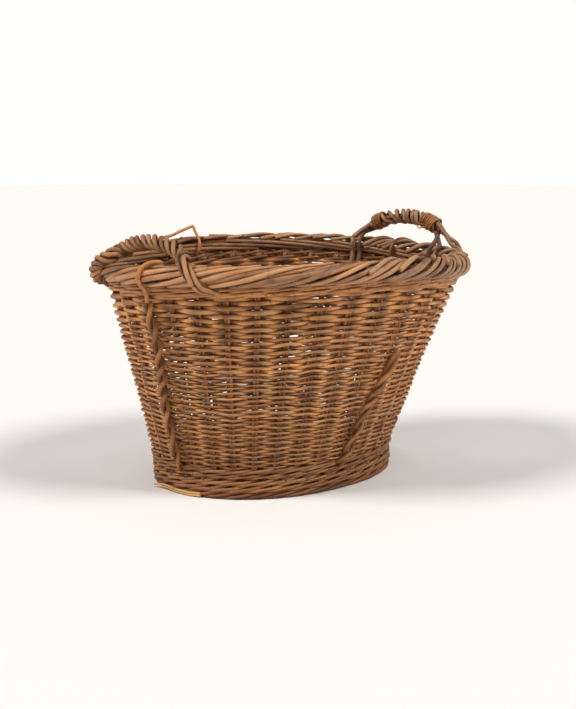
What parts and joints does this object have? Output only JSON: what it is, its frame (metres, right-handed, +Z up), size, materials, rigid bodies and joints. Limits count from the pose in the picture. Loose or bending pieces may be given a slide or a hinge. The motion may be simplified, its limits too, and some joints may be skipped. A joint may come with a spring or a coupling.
{
  "type": "wicker log basket",
  "caption": "Large oval willow basket with slanted woven sides, a rolled border, a woven foot, two roped handles and rope braces down the wall.",
  "frame": {"origin": "on the floor, under the middle of the mouth, which is the middle of the object's box", "axes": "+X along the long axis towards the handle with the two bindings, +Z up; the front with the slanting rope brace faces -Y"},
  "size_m": [0.6936, 0.5304, 0.425],
  "materials": {
    "buff_willow": "bare buff willow with a dull natural sheen",
    "dark_willow": "bare darker willow, matt",
    "weathered_willow": "bare willow, greyed and worn by handling",
    "binding_willow": "bare orange-brown willow, matt"
  },
  "bodies": {
    "root": {"foot_border": "dark_willow", "foot_stakes": "dark_willow", "foot_wale": "buff_willow", "base_cross_sticks": "dark_willow", "base_long_sticks": "dark_willow", "base_weave": "buff_willow", "stakes": "dark_willow", "bye_stakes": "dark_willow", "upset_wale": "buff_willow", "siding_course_1": "buff_willow", "siding_course_2": "buff_willow", "siding_course_3": "buff_willow", "siding_course_4": "buff_willow", "siding_course_5": "buff_willow", "siding_course_6": "buff_willow", "siding_course_7": "buff_willow", "siding_course_8": "buff_willow", "siding_course_9": "buff_willow", "siding_course_10": "buff_willow", "top_wale": "buff_willow", "border_core": "dark_willow", "border_inner_rods": "weathered_willow", "border_rods_left": "weathered_willow", "border_rods_front": "weathered_willow", "border_rods_right": "weathered_willow", "border_rods_rear": "weathered_willow", "left_handle_bow": "dark_willow", "left_handle_roping": "weathered_willow", "left_handle_legs": "weathered_willow", "right_handle_bow": "dark_willow", "right_handle_roping": "weathered_willow", "right_handle_legs": "weathered_willow", "right_handle_binding_rear": "binding_willow", "right_handle_binding_front": "binding_willow", "left_brace": "binding_willow", "right_brace": "binding_willow", "front_brace": "binding_willow", "rear_brace": "binding_willow", "left_brace_loop": "binding_willow", "right_brace_loop": "binding_willow", "rear_brace_loop": "binding_willow"}
  },
  "joints": []
}
